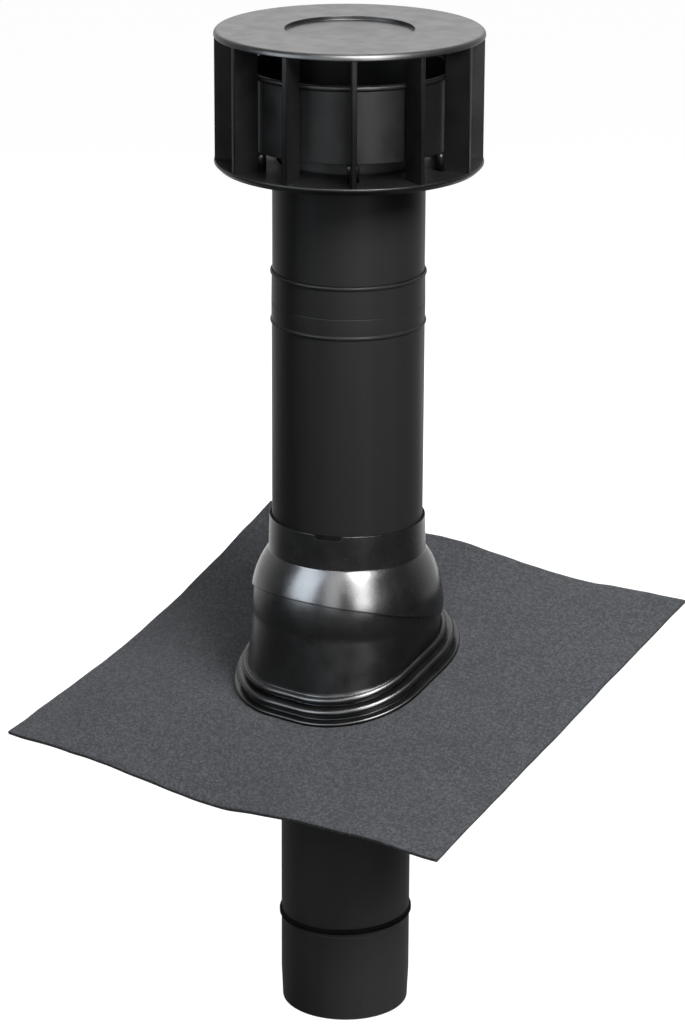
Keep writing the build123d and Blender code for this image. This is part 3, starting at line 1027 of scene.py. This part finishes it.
rings = [sheet_ring(row / SHEET_ROWS) for row in range(SHEET_ROWS + 1)]
outer_ring = rings.pop()
sheet_levels = [(ring, 0.0, 1.0) for ring in rings]
sheet_levels += [(outer_ring, drop, scale) for drop, scale in SHEET_EDGE]
sheet_levels += [(ring, -SHEET_T, 1.0) for ring in rings[::-1]]
sheet_verts = []
for ring, drop, scale in sheet_levels:
    for u, v in ring:
        sheet_verts.append(roof_point(u * scale, v * scale, sheet_rise(u, v) + drop))
sheet_shape = (sheet_verts, grid_faces(len(sheet_levels), len(edge_points)))
sheet = piece("sheet", sheet_shape, "flashing", ["flashing_sheet"], bitumen_sheet)

# CAD nodes that stay as they are

for node, material in {
    "upper_spacer": pipe_plastic,
    "lower_spacer": pipe_plastic,
    "collar_seal": seal_rubber,
    "clamp_ring": base_plastic,
}.items():
    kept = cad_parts[node]
    kept.data.materials.clear()
    kept.data.materials.append(material)

# Floor, backdrop and light


def distance_behind(nodes, place):
    """How far a place or direction lies behind the object, as the camera sees it."""
    behind = nodes.add("ShaderNodeVectorMath", operation="DOT_PRODUCT")
    behind.inputs[1].default_value = AWAY
    nodes.link(place, behind.inputs[0])
    return behind.outputs["Value"]


def floor_look():
    """Grey floor that takes shadows; the camera, and gloss that mirrors it far behind, see it glow white."""
    material, nodes, shader, place = new_material("floor")
    shader.inputs["Base Color"].default_value = (FLOOR_GREY, FLOOR_GREY, FLOOR_GREY, 1)
    shader.inputs["Roughness"].default_value = 0.9
    shader.inputs["Specular IOR Level"].default_value = 0.0
    glow = nodes.add("ShaderNodeEmission")
    glow.inputs["Strength"].default_value = FLOOR_GLOW
    white = nodes.add("ShaderNodeAddShader")
    nodes.link(shader.outputs["BSDF"], white.inputs[0])
    nodes.link(glow.outputs["Emission"], white.inputs[1])
    seen = nodes.add("ShaderNodeLightPath")
    mirrored = nodes.add("ShaderNodeMath", operation="MULTIPLY")
    spread(nodes, distance_behind(nodes, place), 0.0, 1.0, mirrored.inputs[0], FLOOR_LIMITS)
    nodes.link(seen.outputs["Is Glossy Ray"], mirrored.inputs[1])
    whitened = nodes.add("ShaderNodeMath", operation="MAXIMUM")
    nodes.link(seen.outputs["Is Camera Ray"], whitened.inputs[0])
    nodes.link(mirrored.outputs["Value"], whitened.inputs[1])
    pick = nodes.add("ShaderNodeMixShader")
    nodes.link(whitened.outputs["Value"], pick.inputs["Fac"])
    nodes.link(shader.outputs["BSDF"], pick.inputs[1])
    nodes.link(white.outputs["Shader"], pick.inputs[2])
    output = material.node_tree.nodes["Material Output"]
    nodes.link(pick.outputs["Shader"], output.inputs["Surface"])
    return material


corner_signs = [(-1, -1), (1, -1), (1, 1), (-1, 1)]
floor_mesh = bpy.data.meshes.new("floor")
floor_mesh.from_pydata([(x * FLOOR_REACH, y * FLOOR_REACH, 0) for x, y in corner_signs], [], [(0, 1, 2, 3)])
floor = bpy.data.objects.new("floor", floor_mesh)
scene.collection.objects.link(floor)
floor.data.materials.append(floor_look())


def studio_world():
    """White for the camera, dim for matt surfaces, and brighter behind than in front for gloss."""
    world = bpy.data.worlds.new("studio")
    world.use_nodes = True
    nodes = Nodes(world.node_tree)
    background = world.node_tree.nodes["Background"]
    background.inputs["Color"].default_value = (1, 1, 1, 1)
    place = nodes.add("ShaderNodeTexCoord")
    behind = distance_behind(nodes, place.outputs["Generated"])
    seen = nodes.add("ShaderNodeLightPath")
    matt = nodes.add("ShaderNodeMix", data_type="FLOAT")
    matt.inputs[NUMBER_B].default_value = WORLD_MATT
    nodes.link(seen.outputs["Is Diffuse Ray"], matt.inputs[MIX_SHARE])
    spread(nodes, behind, *WORLD_GLOSS, matt.inputs[NUMBER_A], WORLD_LIMITS)
    strength = nodes.add("ShaderNodeMix", data_type="FLOAT")
    strength.inputs[NUMBER_B].default_value = 1.0
    nodes.link(seen.outputs["Is Camera Ray"], strength.inputs[MIX_SHARE])
    nodes.link(matt.outputs[NUMBER_OUT], strength.inputs[NUMBER_A])
    nodes.link(strength.outputs[NUMBER_OUT], background.inputs["Strength"])
    return world


scene.world = studio_world()


def softbox(name, azimuth, elevation, distance, size, radiance, colour=(1, 1, 1)):
    """Area light aimed at the dome; azimuth is measured from the camera's side, positive to the right."""
    turn = math.radians(azimuth)
    lift = math.radians(elevation)
    flat = -AWAY * math.cos(turn) + RIGHT * math.sin(turn)
    spot = LIGHT_AIM + (flat * math.cos(lift) + Vector((0, 0, math.sin(lift)))) * distance
    data = bpy.data.lights.new(name, "AREA")
    data.shape = "RECTANGLE"
    data.size, data.size_y = size
    data.energy = radiance * math.pi * size[0] * size[1]
    data.color = colour
    lamp = bpy.data.objects.new(name, data)
    scene.collection.objects.link(lamp)
    lamp.location = spot
    lamp.rotation_euler = (LIGHT_AIM - spot).to_track_quat("-Z", "Y").to_euler()
    return lamp


for mirrored_box in (
    softbox("left softbox", -57, 28, 2.2, (1.2, 1.7), 22.0, (0.83, 0.91, 1.0)),
    softbox("front softbox", -18, 27, 2.2, (0.7, 1.85), 10.0, (0.96, 0.98, 1.0)),
    softbox("right softbox", 20, 28, 2.2, (0.75, 1.85), 32.0),
    softbox("top softbox", 22, 64, 2.0, (0.7, 1.5), 95.0),
):
    mirrored_box.visible_diffuse = False
softbox("back softbox", 180, 38, 2.4, (2.2, 1.2), 1.7)
for matt_box in (
    softbox("key softbox", 36, 45, 2.2, (0.8, 0.8), 33.0),
    softbox("fill softbox", -10, 22, 2.2, (0.9, 0.9), 2.8),
    softbox("far right softbox", 150, 10, 2.4, (1.4, 1.0), 13.0),
    softbox("far left softbox", -140, 6, 2.4, (1.4, 1.0), 9.0),
):
    matt_box.visible_glossy = False

# Camera

camera_data = bpy.data.cameras.new("camera")
camera_data.sensor_fit = "AUTO"
camera_data.sensor_width = SENSOR
camera_data.lens = FOCAL_PIXELS * SENSOR / PHOTO_HEIGHT
camera_data.clip_end = CLIP_END
camera = bpy.data.objects.new("camera", camera_data)
scene.collection.objects.link(camera)
look = AWAY * math.cos(CAMERA_PITCH) - Vector((0, 0, math.sin(CAMERA_PITCH)))
roll = Matrix.Rotation(CAMERA_ROLL, 3, "Z").to_quaternion()
camera.location = CAMERA_PLACE
camera.rotation_mode = "QUATERNION"
camera.rotation_quaternion = look.to_track_quat("-Z", "Y") @ roll
scene.camera = camera

scene.view_settings.view_transform = "Standard"
